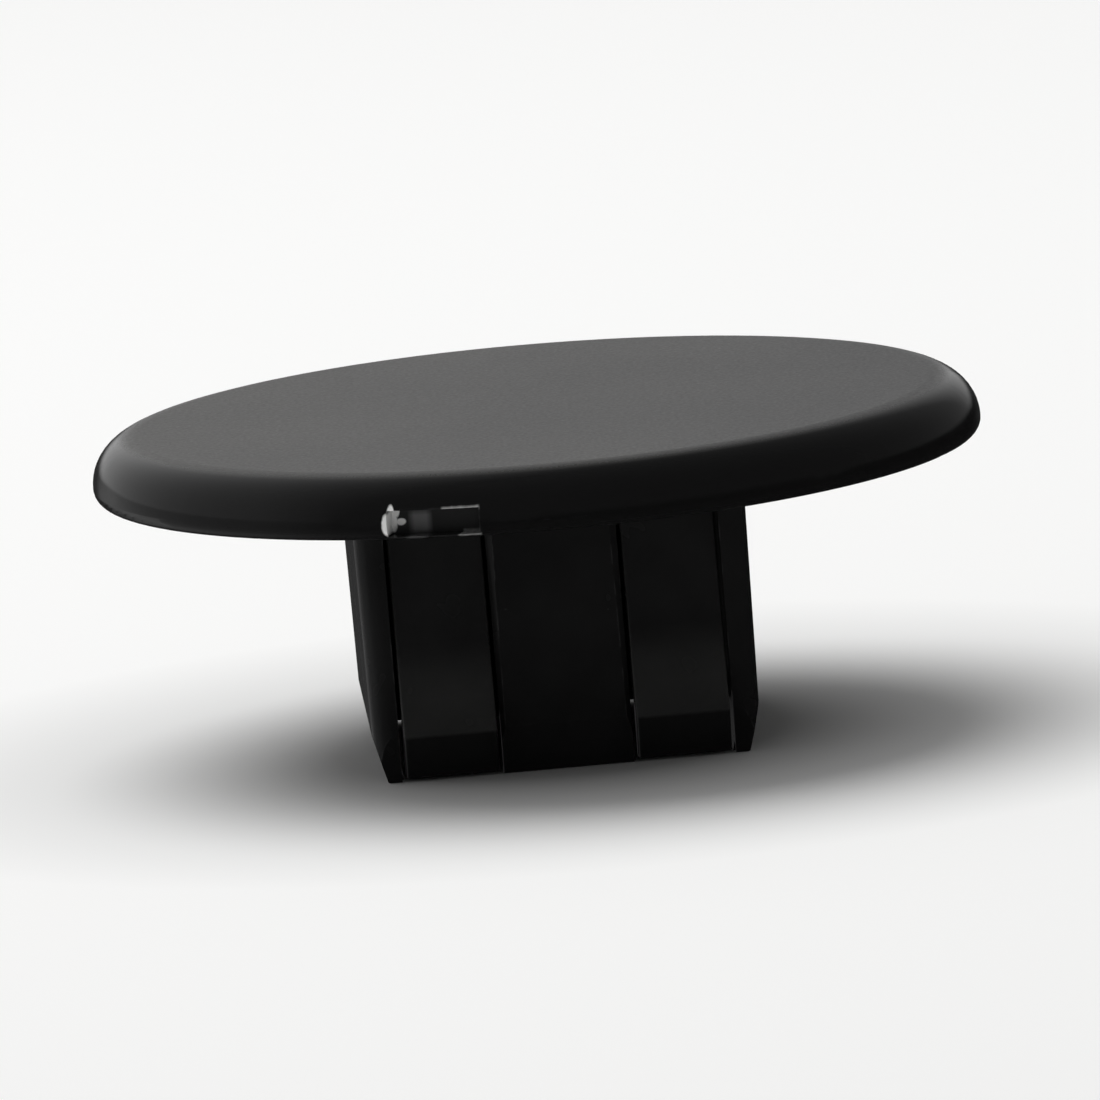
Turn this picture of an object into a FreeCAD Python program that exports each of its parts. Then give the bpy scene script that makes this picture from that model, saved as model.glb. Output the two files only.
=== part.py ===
import FreeCAD, Part
import os
import Sketcher

# Desk cut-out plug: a round cap on a square snap-in stem with four spring tongues.
# Frame: +Z up, origin at the middle of the stem's lower end, front face towards -Y.

SIZES = {
    "cap_radius": "40",
    "cap_height": "5.5",
    "plate_height": "2.2",
    "top_rounding": "4.2",
    "seat_rounding": "1.2",
    "skirt_inside": "35.5",
    "ring_inside": "25",
    "rib_width": "1.6",
    "rib_lift": "0.4",
    "rib_count": "8",
    "spigot_height": "3.9",
    "spigot_wall": "2",
    "spigot_gap": "0.05",
    "slot_width": "8.4",
    "slot_height": "2.35",
    "slot_sill": "0.35",
    "slot_depth": "2.4",
    "slot_turn": "16",
    "stem_length": "25.1",
    "stem_half": "17.6",
    "barb_half": "17.35",
    "end_half": "16.2",
    "barb_level": "4.4",
    "stem_corner": "2",
    "wall_gauge": "1.6",
    "mouth_half": "14.75",
    "collar_level": "23.8",
    "collar_inside": "13.9",
    "tongue_middle": "10.4",
    "tongue_width": "8.4",
    "tongue_gauge": "1.6",
    "side_gap": "0.35",
    "pivot_reach": "16.3",
    "pivot_gap": "0.05",
    "ramp_level": "12.5",
    "barb_reach": "18.9",
    "tip_reach": "16.5",
    "tip_lift": "0.4",
    "edge_break": "0.3",
    "pier_break": "0.4",
}

# Lengths and directions closer than this count as equal when edges are picked.
TOLERANCE = 1e-6
UPRIGHT = 0.99

# Shared expressions over the sheet's cells.
CEILING = "Dims.stem_length + Dims.cap_height - Dims.plate_height"
RIB_LEVEL = "Dims.stem_length + Dims.rib_lift"
SLOPE = "(Dims.stem_half - Dims.barb_half) / (Dims.stem_length - Dims.barb_level)"
DRAFT = f"atan({SLOPE})"
INNER_HALF = "Dims.barb_half - Dims.wall_gauge"
LEAD_IN = "atan((Dims.barb_half - Dims.end_half) / Dims.barb_level)"
RAMP_FACE = f"Dims.barb_half + (Dims.ramp_level - Dims.barb_level) * {SLOPE}"
BARREL = "Dims.tongue_gauge / 2"

doc = FreeCAD.newDocument("desk_plug")


def make_sheet():
    sheet = doc.addObject("Spreadsheet::Sheet", "Dims")
    for row, (alias, value) in enumerate(SIZES.items(), start=1):
        sheet.set(f"A{row}", alias)
        sheet.set(f"B{row}", value)
        sheet.setAlias(f"B{row}", alias)
    doc.recompute()
    return sheet


sheet = make_sheet()


def number(expression):
    return float(sheet.evalExpression(expression))


def new_body(label):
    body = doc.addObject("PartDesign::Body", label)
    body.Label = label
    return body


def origin_feature(body, role):
    return next(item for item in body.Origin.OriginFeatures if item.Role == role)


def new_sketch(body, name, plane, lift="0", turn="0"):
    """A sketch on one of the body's origin planes, moved along its normal, then turned about +Z."""
    sketch = body.newObject("Sketcher::SketchObject", name)
    sketch.AttachmentSupport = [(origin_feature(body, plane), "")]
    sketch.MapMode = "FlatFace"
    if turn == "0":
        sketch.setExpression("AttachmentOffset.Base.z", lift)
        return sketch
    # On the upright planes the part's +Z is the sketch's own Y axis.
    start = FreeCAD.Rotation(FreeCAD.Vector(0, 1, 0), number(turn))
    sketch.AttachmentOffset = FreeCAD.Placement(FreeCAD.Vector(), start)
    angle = f"({turn}) * 1 deg"
    sketch.setExpression("AttachmentOffset.Rotation.Angle", angle)
    sketch.setExpression("AttachmentOffset.Base.x", f"({lift}) * sin({angle})")
    sketch.setExpression("AttachmentOffset.Base.z", f"({lift}) * cos({angle})")
    return sketch


def pin_point(sketch, edge, end, x, y):
    """Fix one end of an edge at a place given by two expressions."""
    for kind, axis, expression in (("DistanceX", -2, x), ("DistanceY", -1, y)):
        value = number(expression)
        if abs(value) < TOLERANCE:
            sketch.addConstraint(Sketcher.Constraint("PointOnObject", edge, end, axis))
            continue
        ends = (-1, 1, edge, end) if value > 0 else (edge, end, -1, 1)
        index = sketch.addConstraint(Sketcher.Constraint(kind, *ends, abs(value)))
        sketch.setExpression(f"Constraints[{index}]", expression if value > 0 else f"-({expression})")


def draw_outline(sketch, points, curved=None):
    """A closed outline through points given as pairs of expressions.

    Its edges are straight, apart from those in curved: the number of an edge's first point, with
    the radius of an arc and the side that it bulges to, 1 for left and -1 for right.
    """
    curved = curved or {}
    places = [FreeCAD.Vector(number(x), number(y), 0) for x, y in points]
    count = len(points)
    ends = []
    for index, place in enumerate(places):
        after = places[(index + 1) % count]
        if index not in curved:
            edge = sketch.addGeometry(Part.LineSegment(place, after))
            ends.append((edge, 1, 2))
            continue
        radius, side = curved[index]
        chord = after - place
        sagitta = number(radius) - (number(radius) ** 2 - (chord.Length / 2) ** 2) ** 0.5
        across = FreeCAD.Vector(-chord.y, chord.x, 0).normalize() * side
        edge = sketch.addGeometry(Part.Arc(place, (place + after) / 2 + across * sagitta, after))
        limit = sketch.addConstraint(Sketcher.Constraint("Radius", edge, number(radius)))
        sketch.setExpression(f"Constraints[{limit}]", radius)
        # A sketch's arcs run anticlockwise, so one that bulges to the left starts at its far point.
        ends.append((edge, 2, 1) if side > 0 else (edge, 1, 2))
    for index, (x, y) in enumerate(points):
        edge, start, end = ends[index]
        after, after_start, _ = ends[(index + 1) % count]
        sketch.addConstraint(Sketcher.Constraint("Coincident", edge, end, after, after_start))
        pin_point(sketch, edge, start, x, y)


def draw_box(sketch, left, right, low, high):
    draw_outline(sketch, [(left, low), (right, low), (right, high), (left, high)])


def draw_square(sketch, half):
    draw_box(sketch, f"-({half})", half, f"-({half})", half)


def draw_circle(sketch, x, y, radius):
    centre = FreeCAD.Vector(number(x), number(y), 0)
    circle = Part.Circle(centre, FreeCAD.Vector(0, 0, 1), number(radius))
    edge = sketch.addGeometry(circle)
    pin_point(sketch, edge, 3, x, y)
    index = sketch.addConstraint(Sketcher.Constraint("Radius", edge, number(radius)))
    sketch.setExpression(f"Constraints[{index}]", radius)


def extrude(body, kind, name, sketch, length, taper="0", reverse=False, both=False):
    """A pad or pocket of a sketch, with its length and taper bound to the sheet."""
    feature = body.newObject(f"PartDesign::{kind}", name)
    feature.Profile = sketch
    feature.setExpression("Length", length)
    feature.Reversed = reverse
    if both:
        feature.SideType = "Symmetric"
    if taper != "0":
        feature.setExpression("TaperAngle", taper)
    doc.recompute()
    return feature


def edges_where(feature, test):
    """Names of the feature's edges that pass a test, which is given each edge and its middle."""
    names = []
    for index, edge in enumerate(feature.Shape.Edges, start=1):
        middle = edge.valueAt((edge.FirstParameter + edge.LastParameter) / 2)
        if test(edge, middle):
            names.append(f"Edge{index}")
    return names


def round_edges(body, name, feature, radius, test):
    fillet = body.newObject("PartDesign::Fillet", name)
    fillet.Base = (feature, edges_where(feature, test))
    fillet.setExpression("Radius", radius)
    doc.recompute()
    return fillet


def rim_edge(radius, level):
    """A test for the full circular edge of a given radius at a given height."""
    def test(edge, middle):
        round_edge = isinstance(edge.Curve, Part.Circle) and abs(edge.Curve.Radius - radius) < TOLERANCE
        return round_edge and abs(middle.z - level) < TOLERANCE
    return test


def make_cover_cap():
    """The round cap: plate, skirt and ring turned about Z, then ribs, spigot and pry slot."""
    body = new_body("cover_cap")
    top = "Dims.stem_length + Dims.cap_height"
    ring_outside = "Dims.ring_inside + Dims.rib_width"
    profile = new_sketch(body, "CapProfile", "XZ_Plane")
    draw_outline(profile, [
        ("0", CEILING),
        ("Dims.ring_inside", CEILING),
        ("Dims.ring_inside", RIB_LEVEL),
        (ring_outside, RIB_LEVEL),
        (ring_outside, CEILING),
        ("Dims.skirt_inside", CEILING),
        ("Dims.skirt_inside", "Dims.stem_length"),
        ("Dims.cap_radius", "Dims.stem_length"),
        ("Dims.cap_radius", top),
        ("0", top),
    ])
    disc = body.newObject("PartDesign::Revolution", "CapDisc")
    disc.Profile = profile
    disc.ReferenceAxis = (origin_feature(body, "Z_Axis"), "")
    disc.Angle = 360
    doc.recompute()
    radius = number("Dims.cap_radius")
    rounded = round_edges(body, "TopRounding", disc, "Dims.top_rounding", rim_edge(radius, number(top)))
    seat_edge = rim_edge(radius, number("Dims.stem_length"))
    round_edges(body, "SeatRounding", rounded, "Dims.seat_rounding", seat_edge)

    rib_sketch = new_sketch(body, "RibSketch", "XY_Plane", RIB_LEVEL)
    rib_start = "Dims.ring_inside + Dims.rib_width / 2"
    rib_end = "Dims.skirt_inside + Dims.rib_width / 2"
    draw_box(rib_sketch, rib_start, rib_end, "-Dims.rib_width / 2", "Dims.rib_width / 2")
    rib = extrude(body, "Pad", "Rib", rib_sketch, f"({CEILING}) - ({RIB_LEVEL})")
    ribs = body.newObject("PartDesign::PolarPattern", "Ribs")
    ribs.Originals = [rib]
    ribs.Axis = (origin_feature(body, "Z_Axis"), "")
    ribs.Angle = 360
    ribs.setExpression("Occurrences", "Dims.rib_count")
    body.Tip = ribs
    doc.recompute()

    spigot_sketch = new_sketch(body, "SpigotSketch", "XY_Plane", CEILING)
    spigot_half = "Dims.collar_inside - Dims.spigot_gap"
    draw_square(spigot_sketch, spigot_half)
    draw_square(spigot_sketch, f"{spigot_half} - Dims.spigot_wall")
    extrude(body, "Pad", "Spigot", spigot_sketch, "Dims.spigot_height", reverse=True)

    slot_floor = "Dims.cap_radius - Dims.slot_depth"
    slot_sketch = new_sketch(body, "PrySlotSketch", "XZ_Plane", slot_floor, "-Dims.slot_turn")
    slot_low = "Dims.stem_length + Dims.slot_sill"
    half_width = "Dims.slot_width / 2"
    draw_box(slot_sketch, f"-{half_width}", half_width, slot_low, f"{slot_low} + Dims.slot_height")
    extrude(body, "Pocket", "PrySlot", slot_sketch, "Dims.slot_depth * 2", reverse=True)
    return body


def cut_windows(body, front):
    """Two windows in one wall, with the round seats for the tongues' barrels at their tops."""
    name = "Front" if front else "Back"
    side = -1 if front else 1
    inner = "Dims.tongue_middle - Dims.tongue_width / 2 - Dims.side_gap"
    outer = "Dims.tongue_middle + Dims.tongue_width / 2 + Dims.side_gap"
    # The XZ plane's normal points to -Y, the front.
    inside_face = "Dims.pivot_reach - Dims.tongue_gauge"
    lift = inside_face if front else f"-({inside_face})"
    window_sketch = new_sketch(body, f"{name}Windows", "XZ_Plane", lift)
    draw_box(window_sketch, inner, outer, "-Dims.barb_level", "Dims.collar_level")
    draw_box(window_sketch, f"-({outer})", f"-({inner})", "-Dims.barb_level", "Dims.collar_level")
    depth = "Dims.stem_half - Dims.pivot_reach + 2 * Dims.tongue_gauge"
    extrude(body, "Pocket", f"{name}WindowCut", window_sketch, depth, reverse=front)
    for hand, start in (("Right", inner), ("Left", f"-({outer})")):
        seat_sketch = new_sketch(body, f"{name}{hand}Seat", "YZ_Plane", start)
        seat_y = f"{side} * Dims.pivot_reach"
        draw_circle(seat_sketch, seat_y, "Dims.collar_level", f"{BARREL} + Dims.pivot_gap")
        width = "Dims.tongue_width + 2 * Dims.side_gap"
        extrude(body, "Pocket", f"{name}{hand}SeatCut", seat_sketch, width, reverse=True)


def break_pier_edges(body):
    """Slanted cuts down the four edges of the middle piers, which run out as the walls draw in."""
    side = "Dims.tongue_middle - Dims.tongue_width / 2 - Dims.side_gap"
    start = "Dims.barb_half - Dims.pier_break"
    reach = "Dims.stem_half + Dims.wall_gauge"
    away = f"{side} - ({reach}) + ({start})"
    sketch = new_sketch(body, "PierBreaks", "XY_Plane")
    for hand in (-1, 1):
        for face in (-1, 1):
            draw_outline(sketch, [
                (f"{hand} * ({side})", f"{face} * ({start})"),
                (f"{hand} * ({side})", f"{face} * ({reach})"),
                (f"{hand} * ({away})", f"{face} * ({reach})"),
            ])
    extrude(body, "Pocket", "PierBreakCut", sketch, "Dims.collar_level", reverse=True)


def make_stem_frame():
    """The square stem: drafted walls, lead-in, collar, corner rounding and four windows."""
    body = new_body("stem_frame")
    outline = new_sketch(body, "StemOutline", "XY_Plane", "Dims.barb_level")
    draw_square(outline, "Dims.barb_half")
    rise = f"({CEILING}) - Dims.barb_level"
    extrude(body, "Pad", "DraftedWalls", outline, rise, taper=DRAFT)
    lead_outline = new_sketch(body, "LeadInOutline", "XY_Plane", "Dims.barb_level")
    draw_square(lead_outline, "Dims.barb_half")
    lead = extrude(body, "Pad", "LeadIn", lead_outline, "Dims.barb_level", f"-{LEAD_IN}", reverse=True)

    def corner_edge(edge, middle):
        run = edge.tangentAt(edge.FirstParameter)
        near_corner = min(abs(middle.x), abs(middle.y)) > number("Dims.end_half") - TOLERANCE
        return abs(run.z) > UPRIGHT and near_corner

    rounded = round_edges(body, "StemCorners", lead, "Dims.stem_corner", corner_edge)

    def end_edge(edge, middle):
        return middle.z < TOLERANCE

    round_edges(body, "StemEnd", rounded, "Dims.edge_break", end_edge)

    hollow = new_sketch(body, "HollowOutline", "XY_Plane", "Dims.barb_level")
    draw_square(hollow, INNER_HALF)
    height = "Dims.collar_level - Dims.barb_level"
    extrude(body, "Pocket", "Hollow", hollow, height, taper=DRAFT, reverse=True)
    mouth = new_sketch(body, "MouthOutline", "XY_Plane", "Dims.barb_level")
    draw_square(mouth, INNER_HALF)
    narrowing = f"-atan(({INNER_HALF} - Dims.mouth_half) / Dims.barb_level)"
    extrude(body, "Pocket", "Mouth", mouth, "Dims.barb_level", taper=narrowing)
    collar = new_sketch(body, "CollarOutline", "XY_Plane", "Dims.collar_level - Dims.wall_gauge")
    draw_square(collar, "Dims.collar_inside")
    collar_rise = f"({CEILING}) - Dims.collar_level + 2 * Dims.wall_gauge"
    extrude(body, "Pocket", "CollarOpening", collar, collar_rise, reverse=True)
    cut_windows(body, front=True)
    cut_windows(body, front=False)
    break_pier_edges(body)
    return body


def make_tongue(label, hand, side):
    """A snap tongue: flat spring blade with a ramp, a barb and a round root that it turns on."""
    body = new_body(label)
    middle = f"{hand} * Dims.tongue_middle"

    def outward(reach):
        return f"{side} * ({reach})"

    blade_sketch = new_sketch(body, "BladeSketch", "YZ_Plane", middle)
    inner_face = f"Dims.pivot_reach - {BARREL}"
    # The ramp leaves the blade upright and curves outwards to the barb.
    ramp_drop = "Dims.ramp_level - Dims.barb_level"
    ramp_rise = f"Dims.barb_reach - ({RAMP_FACE})"
    ramp_radius = f"(({ramp_drop})^2 + ({ramp_rise})^2) / (2 * ({ramp_rise}))"
    draw_outline(blade_sketch, [
        (outward(inner_face), "Dims.collar_level"),
        (outward(f"Dims.pivot_reach + {BARREL}"), "Dims.collar_level"),
        (outward(RAMP_FACE), "Dims.ramp_level"),
        (outward("Dims.barb_reach"), "Dims.barb_level"),
        (outward("Dims.tip_reach"), "Dims.tip_lift"),
        (outward("Dims.tip_reach - Dims.tongue_gauge"), "Dims.tip_lift"),
        (outward(inner_face), "Dims.barb_level"),
    ], curved={2: (ramp_radius, -side)})
    blade = extrude(body, "Pad", "Blade", blade_sketch, "Dims.tongue_width", both=True)

    def outer_edge(edge, point):
        on_side = abs(abs(point.x) - number("Dims.tongue_middle")) > TOLERANCE
        past_wall = abs(point.y) > number("Dims.barb_half")
        on_ramp = point.z < number("Dims.ramp_level")
        at_barb = abs(point.z - number("Dims.barb_level")) < TOLERANCE
        return past_wall and (at_barb or (on_side and on_ramp))

    round_edges(body, "BladeEdges", blade, "Dims.edge_break", outer_edge)
    barrel_sketch = new_sketch(body, "BarrelSketch", "YZ_Plane", middle)
    draw_circle(barrel_sketch, outward("Dims.pivot_reach"), "Dims.collar_level", BARREL)
    extrude(body, "Pad", "Barrel", barrel_sketch, "Dims.tongue_width", both=True)
    return body


TONGUES = {
    "front_left_tongue": (-1, -1),
    "front_right_tongue": (1, -1),
    "back_left_tongue": (-1, 1),
    "back_right_tongue": (1, 1),
}

bodies = [make_cover_cap(), make_stem_frame()]
for label, (hand, side) in TONGUES.items():
    bodies.append(make_tongue(label, hand, side))
doc.recompute()

for item in doc.Objects:
    if {"Invalid", "Error"} & set(item.State):
        raise RuntimeError(f"{item.Name} did not recompute: {item.State}")
for body in bodies:
    shape = body.Shape
    if shape.isNull() or not shape.isValid() or len(shape.Solids) != 1:
        raise RuntimeError(f"{body.Label} is not one valid solid")

os.makedirs("parts", exist_ok=True)
for body in bodies:
    box = body.Shape.BoundBox
    print(body.Label, round(body.Shape.Volume, 1), [round(v, 2) for v in (
        box.XMin, box.XMax, box.YMin, box.YMax, box.ZMin, box.ZMax)])
    body.Shape.exportStep(f"parts/{body.Label}.step")
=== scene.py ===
import bpy
import math
from mathutils import Matrix, Vector


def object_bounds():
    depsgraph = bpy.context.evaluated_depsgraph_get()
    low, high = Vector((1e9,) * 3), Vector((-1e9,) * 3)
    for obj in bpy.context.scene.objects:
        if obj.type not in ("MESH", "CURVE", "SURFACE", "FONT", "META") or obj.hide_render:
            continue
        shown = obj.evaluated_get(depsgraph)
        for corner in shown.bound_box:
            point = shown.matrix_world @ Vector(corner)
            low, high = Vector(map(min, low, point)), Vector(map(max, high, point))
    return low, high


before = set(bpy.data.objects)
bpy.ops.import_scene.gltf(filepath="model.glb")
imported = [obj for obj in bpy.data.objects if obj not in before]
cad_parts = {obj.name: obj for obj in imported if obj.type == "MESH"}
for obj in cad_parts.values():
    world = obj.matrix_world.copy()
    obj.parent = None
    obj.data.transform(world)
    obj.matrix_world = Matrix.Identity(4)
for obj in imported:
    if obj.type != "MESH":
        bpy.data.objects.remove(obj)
cad_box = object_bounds()

# Lengths are in metres, angles in degrees and colours linear. Noise is in waves per metre.

# Camera: its angles, its lens, the width of the view, and where the cap's top lies in the view.
CAMERA_AZIMUTH = -2.0
CAMERA_ELEVATION = 9.1
CAMERA_ROLL = 4.8
CAMERA_LENS_MM = 600.0
SENSOR_MM = 36.0
VIEW_WIDTH = 0.0988
CAP_TOP_RIGHT = -0.00155
CAP_TOP_UP = 0.01319
CLIP_RATIO = 100.0

# Black plastic, and the weak reflection that every piece shares.
GLOSS_SPECULAR = 0.15
BLACK = (0.012, 0.012, 0.0122, 1.0)
BLACK_CLOUDED = (0.0155, 0.0155, 0.0157, 1.0)
RIM_BLACK = (0.0065, 0.0065, 0.0066, 1.0)
SLOT_BLACK = (0.025, 0.025, 0.0255, 1.0)
# Paler ramps of the snap tongues: a painted highlight, strongest just above the barb.
RAMP_PAINTED_SHEEN = (0.03, 0.03, 0.0293, 1.0)
TOP_DARK = (0.018, 0.018, 0.0183, 1.0)
# Lighter tone of the top, used for its random clouds and for the painted sheen on its left side.
TOP_LIGHT = (0.05, 0.0488, 0.046, 1.0)
# Paler corners: partly wear, partly a painted highlight along the edges.
RUBBED_AND_SHEEN = (0.045, 0.045, 0.046, 1.0)
# White of painted highlights in the rim slot: spots at its left end and lines along its edges.
PAINTED_GLINT_WHITE = (0.85, 0.85, 0.84, 1.0)
# Grey of a painted reflection on the slot's floor.
PAINTED_REFLECTION_GREY = (0.14, 0.14, 0.142, 1.0)

# Places of the colour sockets on a mix node, which has a socket of each name for each kind of data.
MIX_FIRST = 6
MIX_SECOND = 7
MIX_RESULT = 2

# Noise: its usual detail, and the middle spans of its values that are stretched to a full range.
NOISE_DETAIL = 2.0
FULL_SPAN = (0.0, 1.0)
WIDE_SPAN = (0.3, 0.7)
NARROW_SPAN = (0.35, 0.65)
WEAR_SHEEN_SPAN = (0.45, 0.65)

# Corners painted paler, partly as wear and partly as a painted highlight: how far the paleness
# reaches, and the cosines of the angle between the rounded normal and the flat one at which it starts
# and is full.
WEAR_SHEEN_WIDTH = 0.0002
WEAR_SHEEN_RAYS = 4
WEAR_SHEEN_START = 0.999
WEAR_SHEEN_FULL = 0.93
WEAR_SHEEN_NOISE = 700.0

# Stem and tongues: cloudiness, uneven gloss, and flow waves with fine rub marks on them.
STEM_CLOUD_NOISE = 120.0
STEM_GLOSS_NOISE = 260.0
STEM_ROUGHNESS = (0.16, 0.28)
WAVE_NOISE = 90.0
WAVE_DETAIL = 1.0
RUB_MARK_NOISE = 1600.0
RUB_MARK_HEIGHT = 0.08
STEM_BUMP_STRENGTH = 0.25
STEM_BUMP_HEIGHT = 0.0001

# Snap tongues: heights of the ramp's top and of the barb, and how softly the painted highlight on the
# ramp ends.
RAMP_TOP = 0.0125
RAMP_FADE = 0.005
BARB_LEVEL = 0.0042
BARB_EDGE = 0.0003
STREAK_NOISE = 300.0
STREAK_SHARES = (0.75, 1.0)

# Cap: how softly the textured top ends, its left side painted paler as a painted sheen and its
# clouds, its gloss and its grain.
TOP_FADE = 0.0004
TOP_LEFT_SHEEN_SHARE = 0.7
TOP_CLOUD_SHARE = 0.3
TOP_CLOUD_NOISE = 45.0
RIM_ROUGHNESS = 0.13
TOP_ROUGHNESS = 0.4
# Roughness added where the slot's painted highlights lie.
GLINT_ROUGHNESS = 0.4
SPECKLE_NOISE = 3000.0
SPECKLE_ROUGHNESS = (-0.04, 0.04)
GRAIN_NOISE = 2600.0
GRAIN_DETAIL = 3.0
RIM_GRAIN = 0.05
CAP_BUMP_STRENGTH = 0.35
CAP_BUMP_HEIGHT = 0.00006

# Rim slot: its turn from the front, its edges below the cap's top and along its width, the distance
# from the axis inside which a point is sunk in it, and how far back its marks are full and gone.
SLOT_TURN = 16.0
SLOT_TOP = 0.0028
SLOT_FOOT = 0.00515
SLOT_HALF = 0.0042
SLOT_REACH = 0.0396
SLOT_BLUR = 0.0002
SLOT_OPENING = (-SLOT_HALF, SLOT_HALF, SLOT_TOP, SLOT_FOOT)
FRONT_FULL = -0.03
FRONT_NONE = -0.029

# Slot marks: painted highlights and a painted reflection. Highlight spots: middle along the slot,
# middle below the cap's top, half width and half height. Highlight lines along the edges: left end,
# right end,
# level and strength. Painted reflection: left, right, top and foot.
GLINT_SPOTS = (
    (-0.0038, 0.0030, 0.00033, 0.0007),
    (-0.0042, 0.00405, 0.00046, 0.00095),
    (-0.0034, 0.0041, 0.00045, 0.00032),
)
SPOT_FULL = 0.7
SPOT_NONE = 1.3
GLINT_NOISE = 1500.0
GLINT_WOBBLE = (-0.0001, 0.0001)
EDGE_GLINT_HALF = 0.00012
EDGE_GLINTS = (
    (0.0009, SLOT_HALF, SLOT_TOP, 0.5),
    (0.0022, SLOT_HALF, SLOT_FOOT, 0.3),
)
REFLECTION_PATCH = (-0.0025, -0.0008, 0.0033, SLOT_FOOT)
REFLECTION_BLUR = 0.0003

# Surround: strengths, the level direction of the bright side, and the shares of that direction, of
# left and of up in a direction of view at which each change starts and ends.
WORLD_BRIGHT = 0.75
WORLD_DIM = 0.17
WORLD_BELOW = 0.05
WORLD_BELOW_LEFT = 0.6
WORLD_WHITE = (1.0, 1.0, 1.0, 1.0)
BRIGHT_DIRECTION = (-0.75, 0.66, 0.0)
BRIGHT_START = 0.2
BRIGHT_FULL = 0.62
BELOW_LEFT_START = -0.25
BELOW_LEFT_FULL = -0.55
HORIZON_START = -0.02
HORIZON_FULL = 0.05

# Overhead light.
OVERHEAD_PLACE = (-0.3, 0.3, 1.2)
OVERHEAD_SIZE = 1.2
OVERHEAD_WATTS = 12.0

# Floor and backdrop: the floor's glow, painted light, grows with the distance from the part's axis.
RING_SIDES = 96
STAGE_WHITE = (1.0, 1.0, 0.995, 1.0)
STAGE_BLACK = (0.0, 0.0, 0.0, 1.0)
FLOOR_PAPER = (0.7, 0.7, 0.695, 1.0)
FLOOR_ROUGHNESS = 0.9
FLOOR_RADIUS = 40.0
FLOOR_GAP = 0.00003
FLOOR_GLOW = 0.3
FLOOR_GLOW_START = 0.02
FLOOR_GLOW_FULL = 0.07
BACKDROP_RADIUS = 39.0
BACKDROP_HEIGHT = 40.0
BACKDROP_GLOW = 0.9


def new_material(name, specular):
    material = bpy.data.materials.new(name)
    material.use_nodes = True
    tree = material.node_tree
    shader = tree.nodes["Principled BSDF"]
    shader.inputs["Specular IOR Level"].default_value = specular
    return material, tree, shader


def feed(tree, socket, value):
    """Give an input socket its value, which is another socket, a number or a tuple."""
    if isinstance(value, bpy.types.NodeSocket):
        tree.links.new(value, socket)
    else:
        socket.default_value = value


def object_place(tree):
    return tree.nodes.new("ShaderNodeTexCoord").outputs["Object"]


def split_axes(tree, vector):
    node = tree.nodes.new("ShaderNodeSeparateXYZ")
    tree.links.new(vector, node.inputs["Vector"])
    return node.outputs["X"], node.outputs["Y"], node.outputs["Z"]


def math_node(tree, operation, *values):
    node = tree.nodes.new("ShaderNodeMath")
    node.operation = operation
    for socket, value in zip(node.inputs, values):
        feed(tree, socket, value)
    return node.outputs["Value"]


def vector_node(tree, operation, *values):
    node = tree.nodes.new("ShaderNodeVectorMath")
    node.operation = operation
    for socket, value in zip(node.inputs, values):
        feed(tree, socket, value)
    return node


def mix_colour(tree, share, first, second):
    node = tree.nodes.new("ShaderNodeMix")
    node.data_type = "RGBA"
    feed(tree, node.inputs["Factor"], share)
    feed(tree, node.inputs[MIX_FIRST], first)
    feed(tree, node.inputs[MIX_SECOND], second)
    return node.outputs[MIX_RESULT]


def ramp(tree, value, low, high, start, end):
    """A straight change from start, where the value is low, to end, where it is high."""
    node = tree.nodes.new("ShaderNodeMapRange")
    settings = {"From Min": low, "From Max": high, "To Min": start, "To Max": end}
    for name, number in settings.items():
        node.inputs[name].default_value = number
    tree.links.new(value, node.inputs["Value"])
    return node.outputs["Result"]


def noise(tree, place, scale, detail=NOISE_DETAIL):
    node = tree.nodes.new("ShaderNodeTexNoise")
    node.inputs["Scale"].default_value = scale
    node.inputs["Detail"].default_value = detail
    tree.links.new(place, node.inputs["Vector"])
    return node.outputs["Fac"]


def noise_ramp(tree, place, scale, span, results):
    """Noise whose span of values is stretched to the two results."""
    return ramp(tree, noise(tree, place, scale), *span, *results)


def add_bump(tree, shader, height, strength, distance):
    node = tree.nodes.new("ShaderNodeBump")
    node.inputs["Strength"].default_value = strength
    node.inputs["Distance"].default_value = distance
    tree.links.new(height, node.inputs["Height"])
    tree.links.new(node.outputs["Normal"], shader.inputs["Normal"])


def axis_distance(tree, place):
    """Level distance from the upright axis through the middle of the part."""
    level = vector_node(tree, "MULTIPLY", place, (1.0, 1.0, 0.0)).outputs["Vector"]
    return vector_node(tree, "LENGTH", level).outputs["Value"]


def edge_wear_and_sheen(tree, place):
    """Near 1 on corners, painted paler as wear and as a painted highlight, and 0 on flat faces,
    broken up by noise.
    """
    rounded = tree.nodes.new("ShaderNodeBevel")
    rounded.samples = WEAR_SHEEN_RAYS
    rounded.inputs["Radius"].default_value = WEAR_SHEEN_WIDTH
    geometry = tree.nodes.new("ShaderNodeNewGeometry")
    normals = (rounded.outputs["Normal"], geometry.outputs["Normal"])
    likeness = vector_node(tree, "DOT_PRODUCT", *normals).outputs["Value"]
    corner = ramp(tree, likeness, WEAR_SHEEN_START, WEAR_SHEEN_FULL, 0.0, 1.0)
    broken = noise_ramp(tree, place, WEAR_SHEEN_NOISE, WEAR_SHEEN_SPAN, FULL_SPAN)
    return math_node(tree, "MULTIPLY", corner, broken)


def ramp_painted_sheen(tree, place):
    """How strongly a snap tongue's ramp is painted paler as a painted highlight: from nothing at its
    top, in the cap's shade, to most just above the barb.
    """
    _, _, height = split_axes(tree, place)
    grown = ramp(tree, height, RAMP_TOP, RAMP_TOP - RAMP_FADE, 0.0, 1.0)
    ended = ramp(tree, height, BARB_LEVEL, BARB_LEVEL + BARB_EDGE, 0.0, 1.0)
    streaks = noise_ramp(tree, place, STREAK_NOISE, WIDE_SPAN, STREAK_SHARES)
    painted_ramp_sheen = math_node(tree, "MULTIPLY", grown, ended)
    return math_node(tree, "MULTIPLY", painted_ramp_sheen, streaks)


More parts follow.
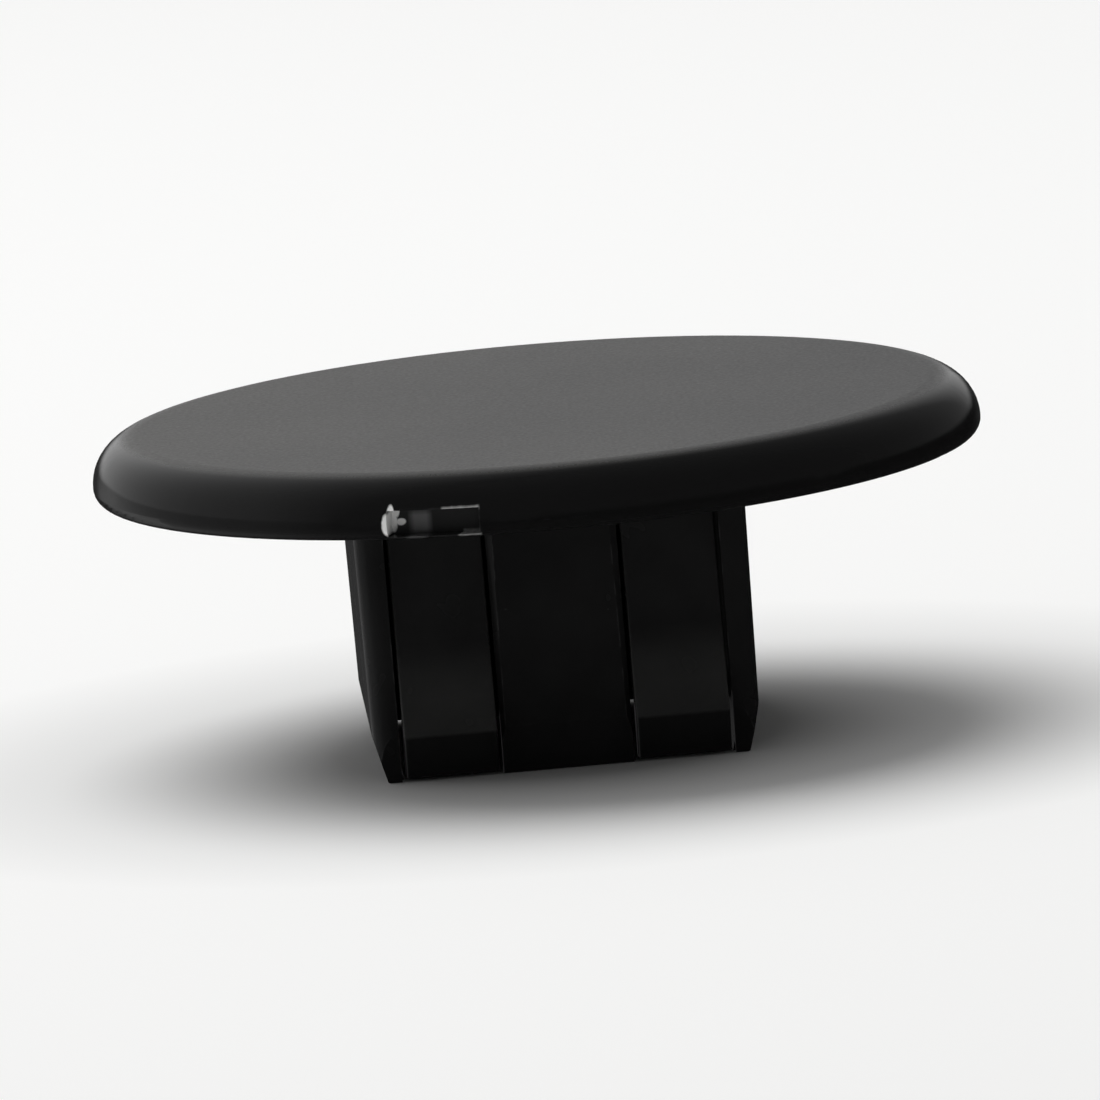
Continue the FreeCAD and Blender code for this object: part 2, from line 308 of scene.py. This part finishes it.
def gloss_plastic(name, ramps=False):
    """Moulded gloss black: slight flow waves, fine rub marks, corners painted paler as wear and as a
    painted highlight, and with ramps a painted highlight on the tongues' ramps.
    """
    material, tree, shader = new_material(name, GLOSS_SPECULAR)
    place = object_place(tree)
    clouds = noise_ramp(tree, place, STEM_CLOUD_NOISE, NARROW_SPAN, FULL_SPAN)
    body = mix_colour(tree, clouds, BLACK, BLACK_CLOUDED)
    if ramps:
        # Ramps painted paler towards the barb: painted highlight.
        body = mix_colour(tree, ramp_painted_sheen(tree, place), body, RAMP_PAINTED_SHEEN)
    # Corners painted paler: wear and painted highlight.
    body = mix_colour(tree, edge_wear_and_sheen(tree, place), body, RUBBED_AND_SHEEN)
    tree.links.new(body, shader.inputs["Base Color"])
    rough = noise_ramp(tree, place, STEM_GLOSS_NOISE, WIDE_SPAN, STEM_ROUGHNESS)
    tree.links.new(rough, shader.inputs["Roughness"])
    waves = noise(tree, place, WAVE_NOISE, WAVE_DETAIL)
    rub_marks = noise(tree, place, RUB_MARK_NOISE)
    height = math_node(tree, "MULTIPLY_ADD", rub_marks, RUB_MARK_HEIGHT, waves)
    add_bump(tree, shader, height, STEM_BUMP_STRENGTH, STEM_BUMP_HEIGHT)
    return material


def below_cap_top(tree, height):
    return math_node(tree, "SUBTRACT", cad_box[1].z, height)


def slot_place(tree, place):
    """Where a point is: along the slot to the right, below the cap's top, and on the slot's side."""
    turned = tree.nodes.new("ShaderNodeVectorRotate")
    turned.rotation_type = "Z_AXIS"
    turned.inputs["Angle"].default_value = math.radians(SLOT_TURN)
    tree.links.new(place, turned.inputs["Vector"])
    along, backward, height = split_axes(tree, turned.outputs["Vector"])
    in_front = ramp(tree, backward, FRONT_FULL, FRONT_NONE, 1.0, 0.0)
    return along, below_cap_top(tree, height), in_front


def soft_spot(tree, along, below, spot):
    """An oval mark with a soft edge."""
    middle, depth, half_width, half_height = spot
    across = math_node(tree, "SUBTRACT", along, middle)
    across = math_node(tree, "DIVIDE", across, half_width)
    upright = math_node(tree, "SUBTRACT", below, depth)
    upright = math_node(tree, "DIVIDE", upright, half_height)
    across = math_node(tree, "MULTIPLY", across, across)
    reach = math_node(tree, "MULTIPLY_ADD", upright, upright, across)
    return ramp(tree, reach, SPOT_FULL, SPOT_NONE, 1.0, 0.0)


def band(tree, value, low, high, edge):
    """1 between the two limits and 0 outside them, with soft edges."""
    rise = ramp(tree, value, low - edge, low + edge, 0.0, 1.0)
    fall = ramp(tree, value, high - edge, high + edge, 1.0, 0.0)
    return math_node(tree, "MULTIPLY", rise, fall)


def soft_patch(tree, along, below, patch, edge):
    """A four-sided mark with soft edges: left, right, top and foot."""
    left, right, top, foot = patch
    across = band(tree, along, left, right, edge)
    upright = band(tree, below, top, foot, edge)
    return math_node(tree, "MULTIPLY", across, upright)


def painted_glint_marks(tree, place, along, below):
    """A painted highlight at the slot's left end, and painted highlight lines along its edges at its
    right.
    """
    wobble = noise_ramp(tree, place, GLINT_NOISE, FULL_SPAN, GLINT_WOBBLE)
    along_rough = math_node(tree, "ADD", along, wobble)
    below_rough = math_node(tree, "ADD", below, wobble)
    # Painted highlight: oval spots at the slot's left end, then lines along its edges.
    marks = [soft_spot(tree, along_rough, below_rough, spot) for spot in GLINT_SPOTS]
    for left, right, level, strength in EDGE_GLINTS:
        patch = (left, right, level - EDGE_GLINT_HALF, level + EDGE_GLINT_HALF)
        mark = soft_patch(tree, along, below_rough, patch, EDGE_GLINT_HALF)
        marks.append(math_node(tree, "MULTIPLY", mark, strength))
    painted_glint = marks[0]
    for mark in marks[1:]:
        painted_glint = math_node(tree, "MAXIMUM", painted_glint, mark)
    return painted_glint


def slot_marks(tree, place):
    """Shares of the slot's recess, of a painted reflection in it, and of painted highlights."""
    along, below, in_front = slot_place(tree, place)
    reach = axis_distance(tree, place)
    sunk = ramp(tree, reach, SLOT_REACH, SLOT_REACH + SLOT_BLUR, 1.0, 0.0)
    opening = soft_patch(tree, along, below, SLOT_OPENING, SLOT_BLUR)
    recess = math_node(tree, "MULTIPLY", opening, sunk)
    painted_reflection = soft_patch(tree, along, below, REFLECTION_PATCH, REFLECTION_BLUR)
    painted_glint = painted_glint_marks(tree, place, along, below)
    return [math_node(tree, "MULTIPLY", mark, in_front) for mark in (recess, painted_reflection, painted_glint)]


def cap_plastic(name):
    """The same black: a finely textured flat top with a painted sheen on its left side, and a smooth
    glossy rim with the slot's painted highlights and painted reflection.
    """
    material, tree, shader = new_material(name, GLOSS_SPECULAR)
    place = object_place(tree)
    sideways, _, height = split_axes(tree, place)
    top = ramp(tree, below_cap_top(tree, height), 0.0, TOP_FADE, 1.0, 0.0)
    clouds = noise_ramp(tree, place, TOP_CLOUD_NOISE, WIDE_SPAN, FULL_SPAN)
    # The top's left side painted paler: painted sheen.
    painted_left_sheen = ramp(tree, sideways, cad_box[1].x, cad_box[0].x, 0.0, TOP_LEFT_SHEEN_SHARE)
    clouds_and_left_sheen = math_node(tree, "MULTIPLY_ADD", clouds, TOP_CLOUD_SHARE, painted_left_sheen)
    body = mix_colour(tree, top, RIM_BLACK, mix_colour(tree, clouds_and_left_sheen, TOP_DARK, TOP_LIGHT))
    # Corners painted paler: wear and painted highlight.
    body = mix_colour(tree, edge_wear_and_sheen(tree, place), body, RUBBED_AND_SHEEN)
    recess, painted_reflection, painted_glint = slot_marks(tree, place)
    # In the slot: its own black, a painted reflection in grey, and painted highlights in white.
    for share, colour in ((recess, SLOT_BLACK), (painted_reflection, PAINTED_REFLECTION_GREY), (painted_glint, PAINTED_GLINT_WHITE)):
        body = mix_colour(tree, share, body, colour)
    tree.links.new(body, shader.inputs["Base Color"])
    rough = ramp(tree, top, 0.0, 1.0, RIM_ROUGHNESS, TOP_ROUGHNESS)
    # Rougher where the slot's painted highlights lie.
    rough = math_node(tree, "MULTIPLY_ADD", painted_glint, GLINT_ROUGHNESS, rough)
    speckle = noise_ramp(tree, place, SPECKLE_NOISE, WIDE_SPAN, SPECKLE_ROUGHNESS)
    tree.links.new(math_node(tree, "ADD", rough, speckle), shader.inputs["Roughness"])
    grain = noise(tree, place, GRAIN_NOISE, GRAIN_DETAIL)
    relief = math_node(tree, "MULTIPLY", grain, ramp(tree, top, 0.0, 1.0, RIM_GRAIN, 1.0))
    add_bump(tree, shader, relief, CAP_BUMP_STRENGTH, CAP_BUMP_HEIGHT)
    return material


def assign_finishes(pieces):
    cap_finish = cap_plastic("cap_plastic")
    stem_finish = gloss_plastic("stem_plastic")
    tongue_finish = gloss_plastic("tongue_plastic", ramps=True)
    for name, piece in pieces.items():
        finish = tongue_finish if name.endswith("tongue") else stem_finish
        if name == "cover_cap":
            finish = cap_finish
        piece.data.materials.clear()
        piece.data.materials.append(finish)


def make_camera():
    angles = (CAMERA_AZIMUTH, CAMERA_ELEVATION, CAMERA_ROLL)
    turn, tilt, roll = (math.radians(angle) for angle in angles)
    back = Vector((math.sin(turn) * math.cos(tilt), -math.cos(turn) * math.cos(tilt), math.sin(tilt)))
    level_right = Vector((math.cos(turn), math.sin(turn), 0.0))
    level_up = back.cross(level_right)
    right = level_right * math.cos(roll) - level_up * math.sin(roll)
    up = level_right * math.sin(roll) + level_up * math.cos(roll)
    low, high = cad_box
    cap_top = Vector(((low.x + high.x) / 2, (low.y + high.y) / 2, high.z))
    aim = cap_top - right * CAP_TOP_RIGHT - up * CAP_TOP_UP
    distance = VIEW_WIDTH * CAMERA_LENS_MM / SENSOR_MM
    data = bpy.data.cameras.new("camera")
    data.lens = CAMERA_LENS_MM
    data.sensor_width = SENSOR_MM
    data.clip_start = distance / CLIP_RATIO
    data.clip_end = distance * CLIP_RATIO
    camera = bpy.data.objects.new("camera", data)
    bpy.context.scene.collection.objects.link(camera)
    turned = Matrix((right, up, back)).transposed()
    camera.matrix_world = Matrix.Translation(aim + back * distance) @ turned.to_4x4()
    bpy.context.scene.camera = camera


def ring_points(radius, height):
    points = []
    for index in range(RING_SIDES):
        angle = index / RING_SIDES * 2 * math.pi
        points.append((radius * math.cos(angle), radius * math.sin(angle), height))
    return points


def add_stage_mesh(name, points, faces):
    """A mesh that belongs to the studio and isn't seen in the plastic's gloss."""
    mesh = bpy.data.meshes.new(name)
    mesh.from_pydata(points, [], faces)
    piece = bpy.data.objects.new(name, mesh)
    bpy.context.scene.collection.objects.link(piece)
    piece.visible_glossy = False
    return piece


def make_floor():
    """A wide pale floor that glows a little away from the part: painted light that lifts its cast
    shadow, and none near the part, which leaves painted shade around its foot.
    """
    points = [(0.0, 0.0, 0.0)] + ring_points(FLOOR_RADIUS, 0.0)
    faces = [(0, 1 + index, 1 + (index + 1) % RING_SIDES) for index in range(RING_SIDES)]
    floor = add_stage_mesh("floor", points, faces)
    floor.location.z = cad_box[0].z - FLOOR_GAP
    material, tree, shader = new_material("floor_paper", 0.0)
    shader.inputs["Base Color"].default_value = FLOOR_PAPER
    shader.inputs["Roughness"].default_value = FLOOR_ROUGHNESS
    shader.inputs["Emission Color"].default_value = STAGE_WHITE
    away = axis_distance(tree, object_place(tree))
    # Painted light on the floor, none close to the part: painted shade around its foot.
    glow = ramp(tree, away, FLOOR_GLOW_START, FLOOR_GLOW_FULL, 0.0, FLOOR_GLOW)
    tree.links.new(glow, shader.inputs["Emission Strength"])
    floor.data.materials.append(material)


def make_backdrop():
    """A plain white wall far off, all round, which lights nothing."""
    points = ring_points(BACKDROP_RADIUS, 0.0) + ring_points(BACKDROP_RADIUS, BACKDROP_HEIGHT)
    faces = []
    for index in range(RING_SIDES):
        after = (index + 1) % RING_SIDES
        faces.append((index, after, RING_SIDES + after, RING_SIDES + index))
    wall = add_stage_mesh("backdrop", points, faces)
    wall.visible_diffuse = False
    wall.visible_shadow = False
    material, _, shader = new_material("backdrop_white", 0.0)
    shader.inputs["Base Color"].default_value = STAGE_BLACK
    shader.inputs["Emission Color"].default_value = STAGE_WHITE
    shader.inputs["Emission Strength"].default_value = BACKDROP_GLOW
    wall.data.materials.append(material)


def make_world():
    """Studio surround: bright behind and to the left, dim in front and to the right, and below the
    horizon dark except far to the left."""
    world = bpy.data.worlds.new("studio")
    bpy.context.scene.world = world
    world.use_nodes = True
    tree = world.node_tree
    direction = tree.nodes.new("ShaderNodeTexCoord").outputs["Generated"]
    sideways, _, height = split_axes(tree, direction)
    bright_side = vector_node(tree, "DOT_PRODUCT", direction, BRIGHT_DIRECTION).outputs["Value"]
    around = ramp(tree, bright_side, BRIGHT_START, BRIGHT_FULL, WORLD_DIM, WORLD_BRIGHT)
    below = ramp(tree, sideways, BELOW_LEFT_START, BELOW_LEFT_FULL, WORLD_BELOW, WORLD_BELOW_LEFT)
    above = ramp(tree, height, HORIZON_START, HORIZON_FULL, 0.0, 1.0)
    share = math_node(tree, "MAXIMUM", above, below)
    strength = math_node(tree, "MULTIPLY", around, share)
    background = tree.nodes["Background"]
    background.inputs["Color"].default_value = WORLD_WHITE
    tree.links.new(strength, background.inputs["Strength"])


def make_overhead_light():
    """A large soft disc above, which points at the part and isn't seen in its gloss."""
    data = bpy.data.lights.new("overhead", "AREA")
    data.shape = "DISK"
    data.size = OVERHEAD_SIZE
    data.energy = OVERHEAD_WATTS
    light = bpy.data.objects.new("overhead", data)
    bpy.context.scene.collection.objects.link(light)
    light.location = OVERHEAD_PLACE
    light.rotation_mode = "QUATERNION"
    light.rotation_quaternion = Vector(OVERHEAD_PLACE).to_track_quat("Z", "Y")
    light.visible_glossy = False


assign_finishes(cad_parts)
make_camera()
make_floor()
make_backdrop()
make_world()
make_overhead_light()

bpy.context.scene.view_settings.view_transform = "Standard"
